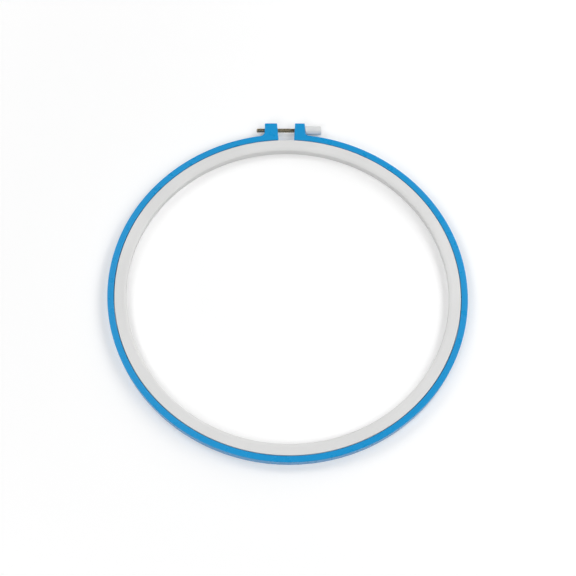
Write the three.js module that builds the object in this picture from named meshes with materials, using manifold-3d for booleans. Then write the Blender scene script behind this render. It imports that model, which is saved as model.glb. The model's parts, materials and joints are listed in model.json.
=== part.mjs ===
// Plastic embroidery hoop: a closed inner hoop, and a split outer hoop that a thumbscrew draws tight
// round it. Millimetres, +Z up. The hoop lies flat on z = 0, and the origin is in the middle of its
// outline, seen from above. The two clamp lugs are at +Y, and the thumbscrew runs along X.

import * as THREE from 'three';
import { mergeVertices } from 'three/addons/utils/BufferGeometryUtils.js';
import Module from 'manifold-3d';

const wasm = await Module();
wasm.setup();

// Hoops: two flat bands, one inside the other, with their tops flush
const HOOP_DIAMETER = 304.8; // across the outside of the inner hoop, the nominal size
const HOOP_HEIGHT = 9.5;
const INNER_BAND = 11.1; // radial width of the inner hoop
const OUTER_BAND = 5.7; // radial width of the outer hoop
const HOOP_CLEARANCE = 0.3; // radial room between the hoops, which cloth fills in use
const INNER_TOP_ROUND = 2.2; // where the hand and the thread slide over the inner hoop
const INNER_BOTTOM_ROUND = 5.5; // fingers reach under the inner hoop here, to lift it off the table
const OUTER_ROUND = 0.8; // outside edges of the outer hoop and of its lugs
const MATING_ROUND = 0.4; // edges on both sides of the seam

// Clamp lugs: they stand out from the outer hoop, one on each side of its split
const LUG_REACH = 11.3; // how far the lugs stand out from the hoop
const NUT_LUG_WIDTH = 11.2; // at its outer end
const KNOB_LUG_WIDTH = 8.9; // at its outer end
const LUG_DRAFT = THREE.MathUtils.degToRad(2);
const LUG_CORNER = 0.85; // plan radius of the corners at the outer end
const NUT_LUG_FILLET = 4.5; // where the lug flows into the hoop
const KNOB_LUG_FILLET = 3.5;
const SPLIT_WIDTH = 14.9; // between the lugs, at the outside of the hoop
const SPLIT_SPLAY = THREE.MathUtils.degToRad(3.9); // each face leans away from the middle

// Thumbscrew: a threaded shank with a moulded knob on one end, and a square nut in the lug
const SHANK_DIAMETER = 3.9; // M4, measured over the thread
const SHANK_STANDOUT = 6.2; // the screw's axis, from the outside of the hoop
const SHANK_CHAMFER = 0.5;
const TIP_BEYOND_LUG = 7.3;
const SHANK_IN_KNOB = 11;
const SCREW_CLEARANCE = 0.3; // between the shank and every hole that it lies in
const NUT_ACROSS = 7;
const NUT_THICKNESS = 2.2;
const NUT_CHAMFER = 0.4;
const NUT_CLEARANCE = 0.3; // between the nut and its slot
const KNOB_DIAMETER = 8.2;
const KNOB_LENGTH = 14.8;
const KNOB_SEAT_GAP = 0.3; // between the knob and its lug
const KNOB_END_ROUND = 1.4;
const KNOB_MOUTH_ROUND = 0.4;
const KNOB_FLUTES = 20;
const FLUTE_DEPTH = 0.3;

// Fineness of the round faces
const HOOP_FACETS = 96;
const SCREW_FACETS = 24;
const POINTS_PER_FLUTE = 4;
const STEPS_PER_QUARTER = 2.6; // on a rounding of 1 mm radius

// Sizes that follow from those above, in a frame whose Z axis is the hoop's own
const matingRadius = HOOP_DIAMETER / 2;
const boreRadius = matingRadius + HOOP_CLEARANCE;
const outsideRadius = boreRadius + OUTER_BAND;
const lugEnd = outsideRadius + LUG_REACH;
const screwY = outsideRadius + SHANK_STANDOUT;
const screwZ = HOOP_HEIGHT / 2;
const holeRadius = SHANK_DIAMETER / 2 + SCREW_CLEARANCE;

// Half the width of the split at a distance y from the hoop's centre
function splitHalf(y) {
  return SPLIT_WIDTH / 2 + (y - outsideRadius) * Math.tan(SPLIT_SPLAY);
}

// From the middle of the split to the far side of a lug, at a distance y from the hoop's centre
function lugSide(width, y) {
  return splitHalf(lugEnd) + width + (lugEnd - y) * Math.tan(LUG_DRAFT);
}

const nutLugSide = lugSide(NUT_LUG_WIDTH, screwY);
const tipX = -(nutLugSide + TIP_BEYOND_LUG);
const nutX = -(nutLugSide + splitHalf(screwY)) / 2;
const knobX = lugSide(KNOB_LUG_WIDTH, screwY) + KNOB_SEAT_GAP;
const shankEndX = knobX + SHANK_IN_KNOB;

// Points on an arc, with more of them on a larger radius
function arc(centreX, centreY, radius, from, to) {
  const quarters = Math.abs(to - from) / (Math.PI / 2);
  const steps = Math.max(2, Math.round(STEPS_PER_QUARTER * Math.sqrt(radius) * quarters));
  const points = [];
  for (let i = 0; i <= steps; i += 1) {
    const angle = from + ((to - from) * i) / steps;
    points.push(new THREE.Vector2(
      centreX + radius * Math.cos(angle),
      centreY + radius * Math.sin(angle),
    ));
  }
  return points;
}

// A section in X (radius) and Y (height), revolved with its height along +Z
function turned(points, facets) {
  return new THREE.LatheGeometry(points, facets).rotateX(Math.PI / 2);
}

// A geometry with its shared corners merged, so that it is one closed body
function closed(geometry) {
  geometry.deleteAttribute('normal');
  geometry.deleteAttribute('uv');
  return mergeVertices(geometry, 1e-4);
}

function solid(geometry) {
  const merged = closed(geometry);
  return new wasm.Manifold(new wasm.Mesh({
    numProp: 3,
    vertProperties: new Float32Array(merged.attributes.position.array),
    triVerts: new Uint32Array(merged.index.array),
  }));
}

function geometryOf(body) {
  const { vertProperties, triVerts } = body.getMesh();
  const geometry = new THREE.BufferGeometry();
  geometry.setAttribute('position', new THREE.BufferAttribute(vertProperties, 3));
  geometry.setIndex(new THREE.BufferAttribute(triVerts, 1));
  return geometry;
}

// A hoop's section has four rounded corners, given as radii, and is turned round the hoop's axis
function band(innerRadius, outerRadius, { innerTop, innerBottom, outerTop, outerBottom }) {
  const quarter = Math.PI / 2;
  const top = HOOP_HEIGHT;
  const section = [
    ...arc(outerRadius - outerBottom, outerBottom, outerBottom, -quarter, 0),
    ...arc(outerRadius - outerTop, top - outerTop, outerTop, 0, quarter),
    ...arc(innerRadius + innerTop, top - innerTop, innerTop, quarter, 2 * quarter),
    ...arc(innerRadius + innerBottom, innerBottom, innerBottom, 2 * quarter, 3 * quarter),
  ];
  return turned([...section, section[0].clone()], HOOP_FACETS);
}

// The plan of one lug, from inside the hoop's wall to its outer end. A fillet, tangent to the lug's side
// and to the outside of the hoop, joins the two. side is 1 for the lug at +X and -1 for the one at -X.
function lugPlan(side, width, fillet) {
  const buried = outsideRadius - OUTER_BAND / 2;
  const cornerX = lugSide(width, lugEnd) - LUG_CORNER;
  const across = new THREE.Vector2(Math.cos(LUG_DRAFT), Math.sin(LUG_DRAFT));
  const along = new THREE.Vector2(-across.y, across.x);
  const offset = across.dot(new THREE.Vector2(lugSide(width, lugEnd), lugEnd)) + fillet;
  const rise = Math.sqrt((outsideRadius + fillet) ** 2 - offset ** 2);
  const centre = across.clone().multiplyScalar(offset).addScaledVector(along, rise);
  const towardsHoop = centre.angle() - Math.PI;
  const towardsLug = across.angle() - Math.PI;
  const points = [
    new THREE.Vector2(0, buried),
    centre.clone().setLength(buried),
    ...arc(centre.x, centre.y, fillet, towardsHoop, towardsLug),
    ...arc(cornerX, lugEnd - LUG_CORNER, LUG_CORNER, LUG_DRAFT, Math.PI / 2),
    new THREE.Vector2(0, lugEnd),
  ];
  return new THREE.Shape(points.map((p) => new THREE.Vector2(side * p.x, p.y)));
}

function lug(side, width, fillet) {
  return new THREE.ExtrudeGeometry(lugPlan(side, width, fillet), {
    depth: HOOP_HEIGHT - 2 * OUTER_ROUND,
    bevelThickness: OUTER_ROUND,
    bevelSize: OUTER_ROUND,
    bevelOffset: -OUTER_ROUND,
    bevelSegments: 2,
  }).translate(0, 0, OUTER_ROUND);
}

// The wedge of air between the lugs, from inside the hoop's bore to past the lugs
function split() {
  const low = boreRadius - OUTER_BAND;
  const high = lugEnd + LUG_REACH;
  const plan = new THREE.Shape([
    new THREE.Vector2(-splitHalf(low), low),
    new THREE.Vector2(splitHalf(low), low),
    new THREE.Vector2(splitHalf(high), high),
    new THREE.Vector2(-splitHalf(high), high),
  ]);
  return new THREE.ExtrudeGeometry(plan, { depth: 3 * HOOP_HEIGHT, bevelEnabled: false })
    .translate(0, 0, -HOOP_HEIGHT);
}

// A cylinder on the screw's axis, from one x to another
function alongScrew(radius, from, to) {
  return new THREE.CylinderGeometry(radius, radius, to - from, SCREW_FACETS)
    .rotateZ(Math.PI / 2)
    .translate((from + to) / 2, screwY, screwZ);
}

// A shape made round the Z axis, laid along the screw's axis with its z = 0 at x
function onScrew(geometry, x) {
  return geometry.rotateY(Math.PI / 2).translate(x, screwY, screwZ);
}

// The slot in the lug, open below, through which the square nut is pushed up to the screw's axis
function nutSlot() {
  const room = 2 * NUT_CLEARANCE;
  const top = screwZ + (NUT_ACROSS + room) / 2;
  const height = top + HOOP_HEIGHT;
  return new THREE.BoxGeometry(NUT_THICKNESS + room, NUT_ACROSS + room, height)
    .translate(nutX, screwY, top - height / 2);
}

function innerHoop() {
  return band(matingRadius - INNER_BAND, matingRadius, {
    innerTop: INNER_TOP_ROUND,
    innerBottom: INNER_BOTTOM_ROUND,
    outerTop: MATING_ROUND,
    outerBottom: MATING_ROUND,
  });
}

function outerHoop() {
  const ring = band(boreRadius, outsideRadius, {
    innerTop: MATING_ROUND,
    innerBottom: MATING_ROUND,
    outerTop: OUTER_ROUND,
    outerBottom: OUTER_ROUND,
  });
  const hoop = solid(ring)
    .add(solid(lug(-1, NUT_LUG_WIDTH, NUT_LUG_FILLET)))
    .add(solid(lug(1, KNOB_LUG_WIDTH, KNOB_LUG_FILLET)))
    .subtract(solid(split()))
    .subtract(solid(alongScrew(holeRadius, tipX, knobX)))
    .subtract(solid(nutSlot()));
  return geometryOf(hoop);
}

// A square nut with its corners turned down on both faces, and a plain hole in place of its thread
function squareNut() {
  const half = NUT_THICKNESS / 2;
  const corner = NUT_ACROSS * Math.SQRT1_2;
  const blank = new THREE.BoxGeometry(NUT_ACROSS, NUT_ACROSS, NUT_THICKNESS);
  const cone = turned([
    new THREE.Vector2(0, -half),
    new THREE.Vector2(corner - NUT_CHAMFER, -half),
    new THREE.Vector2(corner + NUT_CHAMFER, -half + NUT_CHAMFER),
    new THREE.Vector2(corner + NUT_CHAMFER, half - NUT_CHAMFER),
    new THREE.Vector2(corner - NUT_CHAMFER, half),
    new THREE.Vector2(0, half),
  ], SCREW_FACETS);
  const hole = alongScrew(holeRadius, nutX - NUT_THICKNESS, nutX + NUT_THICKNESS);
  const nut = solid(onScrew(blank, nutX))
    .intersect(solid(onScrew(cone, nutX)))
    .subtract(solid(hole));
  return geometryOf(nut);
}

// The shank, chamfered at both ends
function shank() {
  const radius = SHANK_DIAMETER / 2;
  const length = shankEndX - tipX;
  const profile = [
    new THREE.Vector2(0, 0),
    new THREE.Vector2(radius - SHANK_CHAMFER, 0),
    new THREE.Vector2(radius, SHANK_CHAMFER),
    new THREE.Vector2(radius, length - SHANK_CHAMFER),
    new THREE.Vector2(radius - SHANK_CHAMFER, length),
    new THREE.Vector2(0, length),
  ];
  return onScrew(turned(profile, SCREW_FACETS), tipX);
}

// The knob's outline: a circle with shallow flutes all round
function flutedOutline() {
  const steps = KNOB_FLUTES * POINTS_PER_FLUTE;
  const points = [];
  for (let i = 0; i < steps; i += 1) {
    const angle = (i / steps) * 2 * Math.PI;
    const depth = (FLUTE_DEPTH / 2) * (1 - Math.cos(angle * KNOB_FLUTES));
    points.push(new THREE.Vector2(KNOB_DIAMETER / 2 - depth, 0).rotateAround(new THREE.Vector2(), angle));
  }
  return new THREE.Shape(points);
}

// The knob, with a blind hole for the shank. Its closed end is rounded, and its mouth is at the lug.
function knob() {
  const radius = KNOB_DIAMETER / 2;
  const grip = new THREE.ExtrudeGeometry(flutedOutline(), { depth: KNOB_LENGTH, bevelEnabled: false });
  const envelope = turned([
    new THREE.Vector2(0, 0),
    ...arc(radius - KNOB_MOUTH_ROUND, KNOB_MOUTH_ROUND, KNOB_MOUTH_ROUND, -Math.PI / 2, 0),
    ...arc(radius - KNOB_END_ROUND, KNOB_LENGTH - KNOB_END_ROUND, KNOB_END_ROUND, 0, Math.PI / 2),
    new THREE.Vector2(0, KNOB_LENGTH),
  ], 2 * SCREW_FACETS);
  const hole = alongScrew(holeRadius, knobX - KNOB_LENGTH, shankEndX + SCREW_CLEARANCE);
  const body = solid(onScrew(grip, knobX))
    .intersect(solid(onScrew(envelope, knobX)))
    .subtract(solid(hole));
  return geometryOf(body);
}

function finish(color, roughness, metalness = 0) {
  return new THREE.MeshStandardMaterial({ color, roughness, metalness });
}

const bluePlastic = finish(0x0e93d6, 0.42);
const whitePlastic = finish(0xe4e4e2, 0.4);
const knobPlastic = finish(0xdcdedf, 0.35);
const darkBrass = finish(0x6f6450, 0.4, 1);

function piece(name, geometry, material) {
  const mesh = new THREE.Mesh(closed(geometry), material);
  mesh.name = name;
  return mesh;
}

const group = new THREE.Group();
group.add(
  piece('inner_hoop', innerHoop(), whitePlastic),
  piece('outer_hoop', outerHoop(), bluePlastic),
  piece('square_nut', squareNut(), darkBrass),
  piece('screw_shank', shank(), darkBrass),
  piece('screw_knob', knob(), knobPlastic),
);
// The lugs stand out on one side only, so the hoop's centre lies off the middle of the outline
group.position.y = -LUG_REACH / 2;

export default group;
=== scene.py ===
# %% [markdown]
# # A plastic embroidery hoop
# Two flat bands hold the cloth between them. The white inner hoop is closed. The blue outer hoop
# is split, and a thumbscrew draws its two lugs together until the cloth is tight. The cells below
# make one finish or one piece after the other. A fixed frame says where each belongs.

# %% The frame
import json
import math

import bmesh
import bpy
from mathutils import Matrix, Vector

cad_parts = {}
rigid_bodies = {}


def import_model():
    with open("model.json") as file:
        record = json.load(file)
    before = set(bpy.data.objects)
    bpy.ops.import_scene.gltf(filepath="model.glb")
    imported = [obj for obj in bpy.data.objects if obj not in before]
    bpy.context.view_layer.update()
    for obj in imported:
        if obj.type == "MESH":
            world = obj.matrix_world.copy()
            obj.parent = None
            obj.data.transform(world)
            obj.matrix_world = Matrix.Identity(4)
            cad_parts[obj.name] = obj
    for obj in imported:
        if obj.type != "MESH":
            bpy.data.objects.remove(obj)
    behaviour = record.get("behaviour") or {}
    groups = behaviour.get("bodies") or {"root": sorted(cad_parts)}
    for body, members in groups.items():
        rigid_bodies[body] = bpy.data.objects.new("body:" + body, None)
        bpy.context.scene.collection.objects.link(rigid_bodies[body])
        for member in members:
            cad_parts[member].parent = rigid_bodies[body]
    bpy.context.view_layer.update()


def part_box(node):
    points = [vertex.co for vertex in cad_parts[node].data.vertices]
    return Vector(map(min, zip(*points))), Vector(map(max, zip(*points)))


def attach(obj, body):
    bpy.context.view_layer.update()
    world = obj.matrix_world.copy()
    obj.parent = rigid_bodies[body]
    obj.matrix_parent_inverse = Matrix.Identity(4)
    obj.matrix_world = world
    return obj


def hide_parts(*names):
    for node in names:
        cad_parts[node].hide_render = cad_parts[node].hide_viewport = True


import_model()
MM = 0.001

# %% [markdown]
# ## Measures
# The frame gives the outer size and the place of every piece, so most measures are read from it.
# What a box round a piece can't tell, such as the width of a band or how round an edge is, is
# written out where it is first needed.

# %% Measures
inner_low, inner_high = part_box("inner_hoop")
outer_low, outer_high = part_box("outer_hoop")
shank_low, shank_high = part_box("screw_shank")
knob_low, knob_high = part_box("screw_knob")
nut_low, nut_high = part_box("square_nut")

HOOP_CENTRE = (inner_low + inner_high) / 2
HOOP_CENTRE.z = 0
HOOP_HEIGHT = inner_high.z
MATING_RADIUS = (inner_high.x - inner_low.x) / 2
OUTSIDE_RADIUS = (outer_high.x - outer_low.x) / 2
LUG_END = outer_high.y - HOOP_CENTRE.y
SCREW_AXIS = (shank_low + shank_high) / 2
SCREW_AXIS.x = 0
INNER_BAND = 11.1 * MM
HOOP_CLEARANCE = 0.3 * MM
BORE_RADIUS = MATING_RADIUS + HOOP_CLEARANCE
HOOP_STEPS = 480
print("hoop radius, mm:", round(MATING_RADIUS / MM, 2), "height:", round(HOOP_HEIGHT / MM, 2))

# %% [markdown]
# ## The camera
# The photograph looks down on the hoop from a little in front of it. The circle of the seam shows
# as an ellipse, whose shape gives the height of the view, and its lean gives the roll. A long
# lens stands far back, because the near and the far side of the hoop are almost the same size.

# %% Camera
CAMERA_AZIMUTH = math.radians(-3.15)
CAMERA_ELEVATION = math.radians(65.15)
CAMERA_ROLL = math.radians(2.85)
CAMERA_DISTANCE = 1.693
CAMERA_REACH = 10
LENS = 120.5
AIM_RIGHT = 0.08 * MM
AIM_UP = 3.26 * MM


def view_axes(azimuth, elevation, roll):
    """The camera's right, up and back directions."""
    level = math.cos(elevation)
    back = Vector((math.sin(azimuth) * level, -math.cos(azimuth) * level, math.sin(elevation)))
    right = Vector((math.cos(azimuth), math.sin(azimuth), 0))
    up = back.cross(right)
    turned_right = right * math.cos(roll) + up * math.sin(roll)
    return turned_right, back.cross(turned_right), back


right, up, back = view_axes(CAMERA_AZIMUTH, CAMERA_ELEVATION, CAMERA_ROLL)
aim = HOOP_CENTRE + Vector((0, 0, HOOP_HEIGHT)) + right * AIM_RIGHT + up * AIM_UP
bpy.ops.object.camera_add(location=aim + back * CAMERA_DISTANCE)
camera = bpy.context.object
camera.rotation_euler = Matrix((right, up, back)).transposed().to_euler()
camera.data.lens = LENS
camera.data.clip_end = CAMERA_REACH
bpy.context.scene.camera = camera
print("camera, m:", [round(v, 3) for v in camera.location])

# %% [markdown]
# ## Tools for modelling
# Operators work on what is selected, as they do by hand. So the first helpers select: one starts
# with a clean slate, one takes a single object, and one picks points, edges or faces by where
# they are. Points that are closer than a hundredth of a millimetre count as the same place.

# %% Helpers: selecting
SAME_PLACE = 0.01 * MM
WELD_DISTANCE = 0.005 * MM


def object_mode():
    """Leaves edit mode, with nothing selected."""
    if bpy.context.object and bpy.context.object.mode == "EDIT":
        bpy.ops.object.mode_set(mode="OBJECT")
    bpy.ops.object.select_all(action="DESELECT")


def only(piece):
    """Selects this object alone and makes it the active one."""
    object_mode()
    piece.select_set(True)
    bpy.context.view_layer.objects.active = piece


def edit(piece):
    """Opens this object alone in edit mode."""
    only(piece)
    bpy.ops.object.mode_set(mode="EDIT")


def pick(kind, test):
    """In edit mode, selects the points, edges or faces that pass the test, and counts them."""
    bpy.ops.mesh.select_mode(type=kind)
    bpy.ops.mesh.select_all(action="DESELECT")
    shape = bmesh.from_edit_mesh(bpy.context.object.data)
    parts = {"VERT": shape.verts, "EDGE": shape.edges, "FACE": shape.faces}[kind]
    chosen = [part for part in parts if test(part)]
    for part in chosen:
        part.select_set(True)
    bmesh.update_edit_mesh(bpy.context.object.data)
    return len(chosen)


def weld():
    """In edit mode, merges points that lie on one another and turns all faces outwards."""
    bpy.ops.mesh.select_all(action="SELECT")
    bpy.ops.mesh.remove_doubles(threshold=WELD_DISTANCE)
    bpy.ops.mesh.normals_make_consistent(inside=False)


def report(piece):
    """Prints a piece's size in millimetres and its number of faces."""
    corners = [piece.matrix_world @ vertex.co for vertex in piece.data.vertices]
    size = [(max(c[i] for c in corners) - min(c[i] for c in corners)) / MM for i in range(3)]
    print(piece.name, [round(s, 2) for s in size], "mm,", len(piece.data.polygons), "faces")


# %% [markdown]
# A moulded piece has soft edges and flat faces. Smooth shading makes the soft edges round, and
# the Weighted Normal modifier lets the large flat faces decide how they shade, so that they stay
# flat.

# %% Helpers: cutting and finishing


def apply_modifier(piece, kind, **settings):
    """Adds a modifier with these settings to the piece and applies it."""
    only(piece)
    modifier = piece.modifiers.new(kind.title(), kind)
    for name, value in settings.items():
        setattr(modifier, name, value)
    bpy.ops.object.modifier_apply(modifier=modifier.name)


def cut(piece, tool, operation="DIFFERENCE"):
    """Cuts the piece with another object, which is used up."""
    apply_modifier(piece, "BOOLEAN", operation=operation, object=tool, solver="EXACT")
    bpy.data.objects.remove(tool)


def smooth(piece, angle=35):
    """Shades round edges smooth and flat faces flat."""
    only(piece)
    bpy.ops.object.shade_smooth_by_angle(angle=math.radians(angle))
    apply_modifier(piece, "WEIGHTED_NORMAL", mode="FACE_AREA", weight=50, keep_sharp=True)


def dress(piece, body, material, node):
    """Gives a finished piece its material and its body, and hides the node that it stands for."""
    piece.data.materials.clear()
    piece.data.materials.append(material)
    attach(piece, body)
    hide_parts(node)
    report(piece)


# %% [markdown]
# ## Shader sums
# A finish is a sum of patterns. Writing such sums as expressions keeps them readable, so this
# small class wraps a socket of the shader and gives it the signs for plus, minus and times. Its
# other methods add the few kinds of node that the finishes below share.

# %% Shader expressions


class Wire:
    """A shader socket that can be used in sums."""

    def __init__(self, tree, socket):
        self.tree = tree
        self.socket = socket

    def node(self, kind, settings=None, inputs=None, output=0):
        """Adds a node, sets it up, feeds it with values or wires, and returns one output."""
        made = self.tree.nodes.new(kind)
        for name, value in (settings or {}).items():
            setattr(made, name, value)
        for name, value in (inputs or {}).items():
            if isinstance(value, Wire):
                self.tree.links.new(value.socket, made.inputs[name])
            else:
                made.inputs[name].default_value = value
        return Wire(self.tree, made.outputs[output])

    def math(self, operation, *values):
        """A sum of values and wires."""
        return self.node("ShaderNodeMath", {"operation": operation}, dict(enumerate(values)))

    def __add__(self, other):
        return self.math("ADD", self, other)

    __radd__ = __add__

    def __sub__(self, other):
        return self.math("SUBTRACT", self, other)

    def __rsub__(self, other):
        return self.math("SUBTRACT", other, self)

    def __mul__(self, other):
        return self.math("MULTIPLY", self, other)

    __rmul__ = __mul__

    def step(self, low, high):
        """0 below low, 1 above high, and smooth in between."""
        between = {"Value": self, "From Min": low, "From Max": high}
        return self.node("ShaderNodeMapRange", {"interpolation_type": "SMOOTHSTEP"}, between)

    def blend(self, first, second):
        """The first colour where this wire is 0, and the second where it is 1."""
        colours = {"Factor": self, 6: (*first, 1), 7: (*second, 1)}
        return self.node("ShaderNodeMix", {"data_type": "RGBA"}, colours, output=2)

    def noise(self, per_metre, detail):
        """A cloudy pattern with this many clouds in a metre."""
        clouds = {"Vector": self, "Scale": per_metre, "Detail": detail}
        return self.node("ShaderNodeTexNoise", None, clouds)

    def length(self):
        """How far this place is from the middle."""
        return self.node("ShaderNodeVectorMath", {"operation": "LENGTH"}, {0: self}, output="Value")


def new_material(name):
    """A material with a Principled shader. Returns it with the shader and a wire to build on."""
    material = bpy.data.materials.new(name)
    material.use_nodes = True
    tree = material.node_tree
    shader = tree.nodes["Principled BSDF"]
    place = Wire(tree, tree.nodes.new("ShaderNodeTexCoord").outputs["Object"])
    return material, shader, place


def feed(shader, name, wire):
    """Links a wire to one of the shader's sockets."""
    wire.tree.links.new(wire.socket, shader.inputs[name])


def roughen(shader, height, strength, depth):
    """Gives the surface fine bumps, as high as this pattern says."""
    bump = {"Strength": strength, "Distance": depth, "Height": height}
    feed(shader, "Normal", height.node("ShaderNodeBump", None, bump))


# %% [markdown]
# ## Moulded plastic
# The hoops and the knob are injection moulded. Their skin copies the spark-eroded steel of the
# mould: a very fine, even grain that softens the gloss. The colour runs through the plastic, and
# only drifts a little where the melt flowed. Handling leaves faint rubbed patches, which are a
# bit shinier.

# %% Material: moulded plastic
FLOWS_PER_METRE = 18
RUBBED_PER_METRE = 90
FINE_GRAINS_PER_METRE = 2600
COARSE_GRAINS_PER_METRE = 900
GRAIN_STRENGTH = 0.12
GRAIN_DEPTH = 0.02 * MM
FLOW_DULLNESS = 0.03
RUBBED_SHINE = 0.08


def moulded_plastic(name, colour, drift, roughness):
    """Plastic of one colour, which drifts to a second one, with a fine mould grain."""
    material, shader, place = new_material(name)
    flow = place.noise(FLOWS_PER_METRE, 2).step(0.3, 0.7)
    rubbed = place.noise(RUBBED_PER_METRE, 3).step(0.5, 0.75)
    feed(shader, "Base Color", flow.blend(colour, drift))
    feed(shader, "Roughness", roughness + FLOW_DULLNESS * flow - RUBBED_SHINE * rubbed)
    grain = place.noise(FINE_GRAINS_PER_METRE, 2) + 0.5 * place.noise(COARSE_GRAINS_PER_METRE, 2)
    roughen(shader, grain, GRAIN_STRENGTH, GRAIN_DEPTH)
    return material


WHITE, WARM_WHITE = (0.76, 0.76, 0.755), (0.73, 0.73, 0.725)
BLUE, DEEP_BLUE = (0.006, 0.305, 0.665), (0.006, 0.295, 0.645)
KNOB_WHITE, CLOUDY_WHITE = (0.76, 0.77, 0.77), (0.74, 0.75, 0.75)
white_plastic = moulded_plastic("white_plastic", WHITE, WARM_WHITE, roughness=0.42)
blue_plastic = moulded_plastic("blue_plastic", BLUE, DEEP_BLUE, roughness=0.28)
knob_plastic = moulded_plastic("knob_plastic", KNOB_WHITE, CLOUDY_WHITE, roughness=0.36)
plastics = (white_plastic, blue_plastic, knob_plastic)
print(len(plastics), "plastics, of", len(white_plastic.node_tree.nodes), "nodes each")

# %% [markdown]
# ## Dark brass
# The thumbscrew is brass with an antique plating: brown in the grooves of the thread, and rubbed
# towards bright brass on the crests. The distance from the screw's axis tells groove from crest.

# %% Material: antique brass, with painted shade in the grooves
THREAD_CREST = 1.95 * MM
THREAD_ROOT = 1.57 * MM
# Painted shade as well as patina: the grooves' brown also darkens the thread as dark reflections in
# its flanks would.
GROOVE_PATINA_AND_SHADE = (0.09, 0.075, 0.055)
CREST_BRASS = (0.85, 0.74, 0.53)
PATINA_PER_METRE = 700
PATINA_STRENGTH = 0.3
PATINA_DEPTH = 0.03 * MM
PATINA_ROUGHNESS = 0.5
RUBBED_BRASS_SHINE = 0.18


def patina_and_shade_brass(name):
    """Metal that is dark and dull near the thread's root, with patina and painted shade, and bright
    on its crest.
    """
    material, shader, place = new_material(name)
    centred = place.node("ShaderNodeMapping", None, {"Vector": place, "Location": -SCREW_AXIS})
    factors = {0: centred, 1: (0, 1, 1)}
    from_axis = centred.node("ShaderNodeVectorMath", {"operation": "MULTIPLY"}, factors)
    crest = from_axis.length().step(THREAD_ROOT, THREAD_CREST)
    patina = place.noise(PATINA_PER_METRE, 4)
    bright = crest * patina.step(0.2, 0.6)
    # The brown of the grooves is partly patina and partly painted shade.
    feed(shader, "Base Color", bright.blend(GROOVE_PATINA_AND_SHADE, CREST_BRASS))
    feed(shader, "Roughness", PATINA_ROUGHNESS - RUBBED_BRASS_SHINE * bright)
    shader.inputs["Metallic"].default_value = 1
    roughen(shader, patina, PATINA_STRENGTH, PATINA_DEPTH)
    return material


dark_brass = patina_and_shade_brass("dark_brass")
print("thread depth, mm:", round((THREAD_CREST - THREAD_ROOT) / MM, 2))

# %% [markdown]
# ## The inner hoop
# Its section is a rectangle with rounded corners. The inside slopes away on top, because the
# cloth and the hand slide over it, and leans back below, where the fingers reach under it to lift
# the hoop. The outside narrows a little towards the top, so that the outer hoop drops over it
# easily and the seam shows as a dark line. The section is drawn once and spun round the hoop's
# axis.

# %% Inner hoop
INNER_SLOPE_WIDTH = 4 * MM
INNER_SLOPE_DROP = 1.6 * MM
INNER_LEAN = 1.3 * MM
MATING_DRAFT = 0.3 * MM
FOOT_ROUND = 0.6 * MM
MATING_ROUND = 0.4 * MM
SLOPE_STEPS = 16
FOOT_STEPS = 5
MATING_STEPS = 4


def stretch_section(factor):
    """Makes the section this many times as high."""
    bpy.ops.mesh.select_all(action="SELECT")
    bpy.ops.transform.resize(value=(1, 1, factor), center_override=(0, 0, 0))


def round_corner(x, z, radius, segments, squash=1):
    """Rounds the corner of the section at this place. A squash below 1 makes it lower than wide."""
    stretch_section(1 / squash)
    corner = Vector((x, HOOP_CENTRE.y, z / squash))
    pick("VERT", lambda vertex: (vertex.co - corner).length < SAME_PLACE)
    bpy.ops.mesh.bevel(offset=radius, segments=segments, affect="VERTICES", clamp_overlap=False)
    stretch_section(squash)


def section_plane():
    """The rectangle of the section, standing beside the hoop's axis, in edit mode."""
    object_mode()
    middle = Vector((MATING_RADIUS - INNER_BAND / 2, HOOP_CENTRE.y, HOOP_HEIGHT / 2))
    bpy.ops.mesh.primitive_plane_add(size=1, location=middle, rotation=(math.pi / 2, 0, 0))
    hoop = bpy.context.object
    hoop.name = "inner_hoop_ring"
    hoop.scale = (INNER_BAND, HOOP_HEIGHT, 1)
    bpy.ops.object.transform_apply(location=True, rotation=True, scale=True)
    bpy.ops.object.mode_set(mode="EDIT")
    pick("VERT", lambda vertex: vertex.co.x < middle.x and vertex.co.z < middle.z)
    bpy.ops.transform.translate(value=(INNER_LEAN, 0, 0))
    pick("VERT", lambda vertex: vertex.co.x > middle.x and vertex.co.z > middle.z)
    bpy.ops.transform.translate(value=(-MATING_DRAFT, 0, 0))
    return hoop


def make_inner_hoop():
    """Rounds the corners of the section, and spins its outline all the way round."""
    hoop = section_plane()
    inside = MATING_RADIUS - INNER_BAND
    squash = INNER_SLOPE_DROP / INNER_SLOPE_WIDTH
    round_corner(inside, HOOP_HEIGHT, INNER_SLOPE_WIDTH, SLOPE_STEPS, squash)
    round_corner(inside + INNER_LEAN, 0, FOOT_ROUND, FOOT_STEPS)
    round_corner(MATING_RADIUS - MATING_DRAFT, HOOP_HEIGHT, MATING_ROUND, MATING_STEPS)
    round_corner(MATING_RADIUS, 0, MATING_ROUND, MATING_STEPS)
    bpy.ops.mesh.select_all(action="SELECT")
    bpy.ops.mesh.delete(type="ONLY_FACE")
    bpy.ops.mesh.select_all(action="SELECT")
    bpy.ops.mesh.spin(steps=HOOP_STEPS, angle=2 * math.pi, center=HOOP_CENTRE, axis=(0, 0, 1))
    weld()
    object_mode()
    return hoop


inner_hoop = make_inner_hoop()
smooth(inner_hoop)
dress(inner_hoop, "inner_hoop", white_plastic, "inner_hoop")

# %% [markdown]
# ## The outer hoop
# The outer hoop is one moulding of one height, so its plan says almost everything. The plan is
# drawn as with a ruler and compasses: a point is drawn out into straight lines, and spun about a
# centre into arcs. Each lug is drawn so, and the band is then spun from one lug to the other.

# %% Drawing tools


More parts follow.
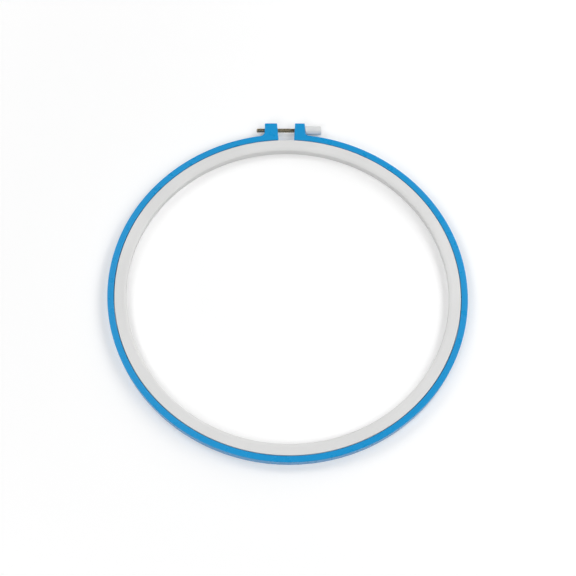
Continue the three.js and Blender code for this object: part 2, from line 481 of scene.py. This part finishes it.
def start_outline(name, point):
    """A new object of a single point, in edit mode."""
    object_mode()
    bpy.ops.mesh.primitive_plane_add(size=MM, location=point)
    bpy.context.object.name = name
    bpy.ops.object.transform_apply(location=True)
    bpy.ops.object.mode_set(mode="EDIT")
    bpy.ops.mesh.select_mode(type="VERT")
    bpy.ops.mesh.select_all(action="SELECT")
    bpy.ops.mesh.merge(type="CENTER")


def next_outline(point):
    """Lifts the pen, and puts it down elsewhere in the same object."""
    bpy.ops.mesh.select_mode(type="VERT")
    bpy.ops.mesh.select_all(action="DESELECT")
    bpy.ops.mesh.primitive_plane_add(size=MM, location=point)
    bpy.ops.mesh.merge(type="CENTER")


def pen():
    """Where the selected point is."""
    shape = bmesh.from_edit_mesh(bpy.context.object.data)
    return next(vertex.co.copy() for vertex in shape.verts if vertex.select)


def line_to(point):
    """Draws the selected point out into a straight line."""
    bpy.ops.mesh.extrude_vertices_move(TRANSFORM_OT_translate={"value": point - pen()})


def arc_to(centre, point, steps, clockwise):
    """Spins the selected point about a centre until it is in the direction of another point."""
    start = pen() - centre
    end = point - centre
    angle = math.atan2(start.y, start.x) - math.atan2(end.y, end.x)
    angle = angle % (2 * math.pi) - (0 if clockwise else 2 * math.pi)
    bpy.ops.mesh.spin(steps=steps, angle=angle, center=centre, axis=(0, 0, 1))


# %% [markdown]
# The two lugs differ: the one that holds the nut is wider. Their far sides taper a little towards
# the end, and flow into the band with a fillet. The faces of the split lean apart, as they do
# when the hoop is sprung open round the inner one.

# %% Outer hoop: the plan of a lug
NUT_LUG_WIDTH = 11.2 * MM
KNOB_LUG_WIDTH = 8.9 * MM
LUG_TAPER = math.radians(2)
NUT_LUG_FILLET = 4.5 * MM
KNOB_LUG_FILLET = 3.5 * MM
SPLIT_WIDTH = 14.9 * MM
SPLIT_SPLAY = math.radians(3.9)
LUG_ARC_STEPS = 16


def split_half(y):
    """Half the width of the split, at a distance y from the hoop's centre."""
    return SPLIT_WIDTH / 2 + (y - OUTSIDE_RADIUS) * math.tan(SPLIT_SPLAY)


class Lug:
    """The places in the plan of one lug. side is 1 at the knob and -1 at the nut."""

    def __init__(self, side, width, fillet):
        self.side = side
        far_x = split_half(LUG_END) + width
        # The fillet touches the far side and the band: its centre is its own radius off both.
        across = Vector((math.cos(LUG_TAPER), math.sin(LUG_TAPER)))
        offset = across.dot(Vector((far_x, LUG_END))) + fillet
        along = Vector((-across.y, across.x))
        rise = math.sqrt((OUTSIDE_RADIUS + fillet) ** 2 - offset**2)
        centre = across * offset + along * rise
        bore_y = math.sqrt(BORE_RADIUS**2 - split_half(BORE_RADIUS) ** 2)
        self.bore_corner = self.place(split_half(bore_y), bore_y)
        self.end_inside = self.place(split_half(LUG_END), LUG_END)
        self.end_outside = self.place(far_x, LUG_END)
        foot = centre.normalized()
        self.fillet_centre = self.place(*centre)
        self.fillet_top = self.place(*(centre - across * fillet))
        self.fillet_foot = self.place(*(foot * OUTSIDE_RADIUS))
        self.bore_foot = self.place(*(foot * BORE_RADIUS))

    def place(self, x, y):
        """A point of the plan, on this lug's side of the split."""
        return HOOP_CENTRE + Vector((self.side * x, y, 0))

    def draw(self):
        """Draws the bore, the split's face, the lug's end, its side and fillet, and fills them."""
        mirrored = self.side < 0
        arc_to(HOOP_CENTRE, self.bore_corner, LUG_ARC_STEPS, clockwise=mirrored)
        line_to(self.end_inside)
        line_to(self.end_outside)
        line_to(self.fillet_top)
        arc_to(self.fillet_centre, self.fillet_foot, LUG_ARC_STEPS, clockwise=mirrored)
        line_to(self.bore_foot)
        bpy.ops.mesh.select_linked()
        bpy.ops.mesh.remove_doubles(threshold=WELD_DISTANCE)
        bpy.ops.mesh.edge_face_add()


knob_lug = Lug(1, KNOB_LUG_WIDTH, KNOB_LUG_FILLET)
nut_lug = Lug(-1, NUT_LUG_WIDTH, NUT_LUG_FILLET)
print("split at the lugs' ends, mm:", round((knob_lug.end_inside - nut_lug.end_inside).x / MM, 2))

# %% [markdown]
# The pen starts at the nut's lug, and is put down again at the knob's. Once both are filled, the
# edge where the knob's lug meets the band is spun round the hoop to the other lug, which leaves
# the band.

# %% Outer hoop: the whole plan


def is_at(vertex, *points):
    """Whether a point lies at one of these places in the plan."""
    return any((vertex.co - point).xy.length < SAME_PLACE for point in points)


def draw_plan():
    """The two lugs, and the band that is spun from one to the other."""
    start_outline("outer_hoop_ring", nut_lug.bore_foot)
    nut_lug.draw()
    next_outline(knob_lug.bore_foot)
    knob_lug.draw()
    ends = (knob_lug.bore_foot, knob_lug.fillet_foot)
    pick("EDGE", lambda edge: all(is_at(vertex, *ends) for vertex in edge.verts))
    arc_to(HOOP_CENTRE, nut_lug.bore_foot, HOOP_STEPS, clockwise=True)
    weld()


draw_plan()
outer_hoop = bpy.context.object
object_mode()
report(outer_hoop)

# %% [markdown]
# The plan is extruded to the hoop's height, and its outside is drawn in below, so that it leaves
# the mould. The screw passes through a round hole in both lugs. The nut is pushed into its slot
# from below, so the slot is open underneath and never shows from above. Hole and slot are cut
# while the moulding still has square edges, which makes clean cuts.

# %% Outer hoop: height, the nut's slot and the screw's hole
OUTER_LEAN = 0.9 * MM
SCREW_CLEARANCE = 0.3 * MM
NUT_CLEARANCE = 0.3 * MM
SLOT_ROUND = 0.4 * MM
HOLE_RADIUS = (shank_high.z - shank_low.z) / 2 + SCREW_CLEARANCE


def raise_plan(hoop):
    """Extrudes the plan to the hoop's height, and draws in the outside of its underside."""
    edit(hoop)
    bpy.ops.mesh.select_all(action="SELECT")
    bpy.ops.mesh.extrude_region_move(TRANSFORM_OT_translate={"value": (0, 0, HOOP_HEIGHT)})
    weld()

    def on_lower_outside(vertex):
        from_centre = vertex.co - HOOP_CENTRE
        outside = from_centre.xy.length > OUTSIDE_RADIUS - SAME_PLACE
        return outside and from_centre.z < HOOP_HEIGHT / 2

    pick("VERT", on_lower_outside)
    shrink = 1 - OUTER_LEAN / OUTSIDE_RADIUS
    bpy.ops.transform.resize(value=(shrink, shrink, 1), center_override=HOOP_CENTRE)


def rod(radius, start, end, vertices=64):
    """A cylinder on the screw's axis, from one x to another."""
    object_mode()
    middle = SCREW_AXIS + Vector(((start + end) / 2, 0, 0))
    bpy.ops.mesh.primitive_cylinder_add(
        vertices=vertices,
        radius=radius,
        depth=end - start,
        location=middle,
        rotation=(0, math.pi / 2, 0),
    )
    bpy.ops.object.transform_apply(location=True, rotation=True)
    return bpy.context.object


def block(low, high):
    """A block from one corner to the opposite one."""
    object_mode()
    bpy.ops.mesh.primitive_cube_add(size=1, location=(low + high) / 2)
    made = bpy.context.object
    made.scale = high - low
    bpy.ops.object.transform_apply(location=True, scale=True)
    return made


def nut_slot():
    """A block as wide as the nut with room all round, which reaches out below the hoop."""
    low = nut_low - Vector((NUT_CLEARANCE, NUT_CLEARANCE, HOOP_HEIGHT))
    high = nut_high + Vector((NUT_CLEARANCE, NUT_CLEARANCE, NUT_CLEARANCE))
    slot = block(low, high)
    apply_modifier(slot, "BEVEL", width=SLOT_ROUND, segments=3)
    return slot


raise_plan(outer_hoop)
cut(outer_hoop, nut_slot())
cut(outer_hoop, rod(HOLE_RADIUS, shank_low.x, knob_low.x))
report(outer_hoop)

# %% [markdown]
# Next, each sharp edge is told how round it becomes. The outside is rounded most, the rims at the
# seam and round the split stay crisper, and the mouths of the cuts are just broken.

# %% Outer hoop: which edge is how round
OUTER_ROUND = 0.6 * MM
CORNER_ROUND = 0.45 * MM
MOUTH_ROUND = 0.25 * MM
BLUNT_ANGLE = math.radians(60)
NEAR = 0.1 * MM
SLOT_REACH_X = 2 * MM
SLOT_REACH_Y = 5 * MM


def off_axis(vertex):
    """How far a point is from the screw's axis."""
    return (vertex.co - SCREW_AXIS).yz.length


def at_split_or_end(point):
    """Whether a point is on a face of the split or on the outer end of a lug."""
    place = point - HOOP_CENTRE
    at_split = abs(abs(place.x) - split_half(place.y)) < NEAR
    return place.y > 0 and (at_split or place.y > LUG_END - OUTER_LEAN - 2 * NEAR)


def rounding(edge):
    """How round an edge becomes. Blunt edges and those inside the slot stay as they are."""
    if edge.calc_face_angle() < BLUNT_ANGLE:
        return 0
    first, second = (vertex.co for vertex in edge.verts)
    if all(abs(off_axis(vertex) - HOLE_RADIUS) < 2 * SAME_PLACE for vertex in edge.verts):
        return MOUTH_ROUND
    if abs(first.z - second.z) > HOOP_HEIGHT / 2:
        return CORNER_ROUND
    if SAME_PLACE < first.z < HOOP_HEIGHT - SAME_PLACE:
        return 0
    from_nut = (first + second - nut_low - nut_high) / 2
    if abs(from_nut.x) < SLOT_REACH_X and abs(from_nut.y) < SLOT_REACH_Y:
        return MOUTH_ROUND
    at_bore = all((point - HOOP_CENTRE).xy.length < BORE_RADIUS + NEAR for point in (first, second))
    crisp = at_bore or (at_split_or_end(first) and at_split_or_end(second))
    return MATING_ROUND if crisp else OUTER_ROUND


# %% [markdown]
# One Bevel modifier then rounds them all at once. Its width is the largest radius, and the weight
# of an edge says which share of it the edge gets.

# %% Outer hoop: rounded edges


def round_edges(hoop):
    """Weights the edges and bevels them all."""
    edit(hoop)
    for radius in (MOUTH_ROUND, MATING_ROUND, CORNER_ROUND, OUTER_ROUND):
        count = pick("EDGE", lambda edge: rounding(edge) == radius)
        print(count, "edges rounded,", round(radius / MM, 2), "mm")
        bpy.ops.transform.edge_bevelweight(value=radius / OUTER_ROUND)
    object_mode()
    apply_modifier(
        hoop,
        "BEVEL",
        width=OUTER_ROUND,
        segments=5,
        limit_method="WEIGHT",
        use_clamp_overlap=False,
    )


round_edges(outer_hoop)
smooth(outer_hoop)
dress(outer_hoop, "outer_hoop", blue_plastic, "outer_hoop")

# %% [markdown]
# ## The square nut
# A thin square nut, cut from a brass bar. Its corners are turned down on both faces, which
# leaves the round bright ring that such nuts have, and its edges are broken. For turning, a rod
# with chamfered ends is laid over the piece, and only what lies inside it is kept. The shank is
# turned so, too.

# %% Square nut
NUT_CHAMFER = 0.4 * MM
NUT_HOLE_ROOM = 0.05 * MM
NUT_EDGE_ROUND = 0.12 * MM


def turn_down(piece, radius, low, high, chamfer, vertices=64):
    """Keeps what lies inside a rod on the screw's axis with chamfered ends, as a lathe does."""
    turned = rod(radius, low.x, high.x, vertices)
    edit(turned)
    pick("EDGE", lambda edge: abs(edge.verts[0].co.x - edge.verts[1].co.x) < SAME_PLACE)
    bpy.ops.mesh.bevel(offset=chamfer, segments=1, affect="EDGES")
    cut(piece, turned, "INTERSECT")


def make_nut():
    """A square block, turned down at its corners, with its hole."""
    nut = block(nut_low, nut_high)
    nut.name = "square_nut_body"
    corner = (nut_high.y - nut_low.y) / 2 * math.sqrt(2)
    turn_down(nut, corner + NUT_CHAMFER, nut_low, nut_high, 2 * NUT_CHAMFER, vertices=128)
    cut(nut, rod(THREAD_CREST + NUT_HOLE_ROOM, nut_low.x - MM, nut_high.x + MM))
    apply_modifier(nut, "BEVEL", width=NUT_EDGE_ROUND, segments=2, limit_method="ANGLE")
    return nut


square_nut = make_nut()
smooth(square_nut)
dress(square_nut, "outer_hoop", dark_brass, "square_nut")

# %% [markdown]
# ## The threaded shank
# A thread is one tooth of its profile, swept along a helix. The Screw modifier does that: a tooth
# is drawn one pitch long, then turned once for every pitch of the shank. The thread starts out
# too long, and is turned down to the shank's length with a chamfer on each end, as on a lathe.

# %% Threaded shank
PITCH = 0.7 * MM
THREAD_STEPS = 24
SPARE_TURNS = 2
TURNING_ROOM = 0.2 * MM
SHANK_CHAMFER = 0.7 * MM
TOOTH = ((0.12, THREAD_ROOT), (0.4, THREAD_CREST), (0.72, THREAD_CREST), (1, THREAD_ROOT))


def make_shank():
    """Draws a tooth, whose points are a share of the pitch and a radius, and screws it along."""
    start = shank_low.x - SPARE_TURNS * PITCH
    turns = math.ceil((shank_high.x - shank_low.x) / PITCH) + 2 * SPARE_TURNS
    start_outline("screw_shank_thread", Vector((start, 0, THREAD_ROOT)))
    for share, radius in TOOTH:
        line_to(Vector((start + share * PITCH, 0, radius)))
    object_mode()
    shank = bpy.context.view_layer.objects.active
    apply_modifier(
        shank,
        "SCREW",
        axis="X",
        screw_offset=PITCH,
        iterations=turns,
        steps=THREAD_STEPS,
        render_steps=THREAD_STEPS,
        use_merge_vertices=True,
        merge_threshold=0.001 * MM,
    )
    only(shank)
    shank.location = SCREW_AXIS
    bpy.ops.object.transform_apply(location=True)
    return shank


def close_ends(shank):
    """Closes the ragged ends of the thread."""
    edit(shank)
    weld()
    pick("EDGE", lambda edge: edge.is_boundary)
    bpy.ops.mesh.fill()
    weld()


screw_shank = make_shank()
close_ends(screw_shank)
turn_down(screw_shank, THREAD_CREST + TURNING_ROOM, shank_low, shank_high, SHANK_CHAMFER)
smooth(screw_shank, angle=50)
dress(screw_shank, "screw", dark_brass, "screw_shank")

# %% [markdown]
# ## The knob
# A moulded knob, which two fingers turn. Half its section is drawn beside the axis. Its flutes
# begin and end gently, so the section has a few extra points there: each share says how far along
# the run-out a point lies, and how deep the flute is at it.

# %% Knob: its section
KNOB_RADIUS = (knob_high.z - knob_low.z) / 2
KNOB_END_ROUND = 1.4 * MM
KNOB_MOUTH_ROUND = 0.4 * MM
FLUTES_FROM = knob_low.x + KNOB_MOUTH_ROUND
FLUTES_TO = knob_high.x - KNOB_END_ROUND
FLUTE_RUN_OUT = 1.2 * MM
FLUTE_STARTS = (0.3, 0.7, 1)
FLUTE_ENDS = (1, 0.75, 0.5, 0.25)
KNOB_END_STEPS = 10
KNOB_MOUTH_STEPS = 5


def knob_section():
    """Half the section: the blind hole, the mouth, the grip and the rounded end."""

    def at(x, radius):
        return SCREW_AXIS + Vector((x, radius, 0))

    start_outline("screw_knob_grip", at(shank_high.x + SCREW_CLEARANCE, 0))
    line_to(at(shank_high.x + SCREW_CLEARANCE, HOLE_RADIUS))
    line_to(at(knob_low.x, HOLE_RADIUS))
    line_to(at(knob_low.x, KNOB_RADIUS - KNOB_MOUTH_ROUND))
    mouth_centre = at(FLUTES_FROM, KNOB_RADIUS - KNOB_MOUTH_ROUND)
    arc_to(mouth_centre, at(FLUTES_FROM, KNOB_RADIUS), KNOB_MOUTH_STEPS, clockwise=True)
    for share in FLUTE_STARTS:
        line_to(at(FLUTES_FROM + share * FLUTE_RUN_OUT, KNOB_RADIUS))
    for share in (*FLUTE_ENDS, 0):
        line_to(at(FLUTES_TO - share * FLUTE_RUN_OUT, KNOB_RADIUS))
    end_centre = at(FLUTES_TO, KNOB_RADIUS - KNOB_END_ROUND)
    end_edge = at(knob_high.x, KNOB_RADIUS - KNOB_END_ROUND)
    arc_to(end_centre, end_edge, KNOB_END_STEPS, clockwise=True)
    line_to(at(knob_high.x, 0))


# %% [markdown]
# The section is spun into a smooth knob, with eight points to each flute. Then the points between
# two ribs are drawn towards the axis, those in the middle of the flute most, ring after ring.

# %% Knob: spun and fluted
KNOB_FLUTES = 20
POINTS_PER_FLUTE = 8
FLUTE_DEPTH = 0.3 * MM


def draw_in_flutes(x, share):
    """Draws in the ring of points at this x, by up to this share of the flutes' depth."""
    for phase in range(1, POINTS_PER_FLUTE):

        def on_flute(vertex):
            from_axis = vertex.co - SCREW_AXIS
            turn = math.atan2(from_axis.z, from_axis.y) / (2 * math.pi)
            place = round(turn * KNOB_FLUTES * POINTS_PER_FLUTE) % POINTS_PER_FLUTE
            on_ring = abs(vertex.co.x - x) < SAME_PLACE and off_axis(vertex) > HOLE_RADIUS + MM
            return on_ring and place == phase

        pick("VERT", on_flute)
        depth = FLUTE_DEPTH * share * math.sin(math.pi * phase / POINTS_PER_FLUTE) ** 2
        shrink = 1 - depth / KNOB_RADIUS
        bpy.ops.transform.resize(value=(1, shrink, shrink), center_override=SCREW_AXIS)


def make_knob():
    """Spins the section and draws in the flutes."""
    knob_section()
    steps = KNOB_FLUTES * POINTS_PER_FLUTE
    bpy.ops.mesh.select_all(action="SELECT")
    bpy.ops.mesh.spin(steps=steps, angle=2 * math.pi, center=SCREW_AXIS, axis=(1, 0, 0))
    weld()
    for share in FLUTE_STARTS:
        draw_in_flutes(FLUTES_FROM + share * FLUTE_RUN_OUT, share)
    for share in FLUTE_ENDS:
        draw_in_flutes(FLUTES_TO - share * FLUTE_RUN_OUT, share)
    object_mode()
    return bpy.context.view_layer.objects.active


screw_knob = make_knob()
smooth(screw_knob, angle=40)
dress(screw_knob, "knob", knob_plastic, "screw_knob")

# %% [markdown]
# ## Light and floor
# The photograph was taken on white paper, inside a ring of soft lamps. As light comes from all
# sides, every shadow is pale and short, and the walls that face the camera are almost as bright
# as the tops. Each lamp below has a name, its direction and height in degrees, and its watts.

# %% Light
LAMP_DISTANCE = 1.2
LAMP_SIZE = 0.6
LAMPS = (
    ("low_softbox", 30, 25, 3.4),
    ("key_softbox", 60, 45, 4.1),
    ("right_softbox", 120, 45, 4.1),
    ("front_softbox", 210, 45, 5.2),
    ("left_softbox", 300, 45, 4.2),
    ("back_softbox", 330, 65, 0.5),
)


def softbox(name, azimuth, elevation, power):
    """A square lamp that faces the hoop. Azimuth 0 is behind the hoop, and 90 is on its right."""
    azimuth, elevation = math.radians(azimuth), math.radians(elevation)
    level = math.cos(elevation)
    towards = Vector((math.sin(azimuth) * level, math.cos(azimuth) * level, math.sin(elevation)))
    bpy.ops.object.light_add(type="AREA", location=HOOP_CENTRE + towards * LAMP_DISTANCE)
    lamp = bpy.context.object
    lamp.name = name
    lamp.rotation_euler = towards.to_track_quat("Z", "Y").to_euler()
    lamp.visible_camera = False
    lamp.data.shape = "SQUARE"
    lamp.data.size = LAMP_SIZE
    lamp.data.energy = power


for lamp_settings in LAMPS:
    softbox(*lamp_settings)
print(len(LAMPS), "lamps,", round(sum(power for *_, power in LAMPS), 1), "W together")

# %% [markdown]
# The room round the lamps is almost dark. The paper is lit only near the hoop, so it also glows:
# a little round the hoop, where the shadows lie, and fully further out, where the picture is
# plain white. It glows only for what looks at it, straight or in a reflection, and sheds no more
# light on the hoop. The Standard view transform shows its white as white.

# %% World and floor
WORLD_STRENGTH = 0.04
PAPER_COLOUR = 0.8
SEEN_COLOUR = 0.78
SEEN_GLOW = 0.25
LIT_RADIUS = 0.22
UNLIT_RADIUS = 1.8
FLOOR_SIZE = 8


def make_world():
    """A faint, even light from everywhere."""
    world = bpy.data.worlds.new("studio")
    world.use_nodes = True
    sky = world.node_tree.nodes["Background"]
    sky.inputs["Color"].default_value = (1, 1, 1, 1)
    sky.inputs["Strength"].default_value = WORLD_STRENGTH
    bpy.context.scene.world = world


def paper():
    """Matt white paper with its glow."""
    material, shader, place = new_material("paper")
    looks = ("Is Camera Ray", "Is Glossy Ray", "Is Transmission Ray")
    seen = sum(place.node("ShaderNodeLightPath", output=look) for look in looks)
    unlit = place.length().step(LIT_RADIUS, UNLIT_RADIUS)
    glow = seen * (SEEN_GLOW + (1 - SEEN_GLOW) * unlit)
    feed(shader, "Base Color", seen.blend([PAPER_COLOUR] * 3, [SEEN_COLOUR] * 3))
    feed(shader, "Emission Color", glow.blend((0, 0, 0), (1, 1, 1)))
    shader.inputs["Emission Strength"].default_value = 1
    shader.inputs["Roughness"].default_value = 0.9
    shader.inputs["Specular IOR Level"].default_value = 0
    return material


def make_floor():
    """A wide sheet of the paper, under the hoop."""
    object_mode()
    bpy.ops.mesh.primitive_plane_add(size=FLOOR_SIZE, location=(0, 0, 0))
    floor = bpy.context.object
    floor.name = "paper"
    floor.data.materials.append(paper())


make_world()
make_floor()
bpy.context.scene.view_settings.view_transform = "Standard"
print("floor:", FLOOR_SIZE, "m wide, plain white from", UNLIT_RADIUS, "m outwards")

# %% Last, nothing is left selected
object_mode()
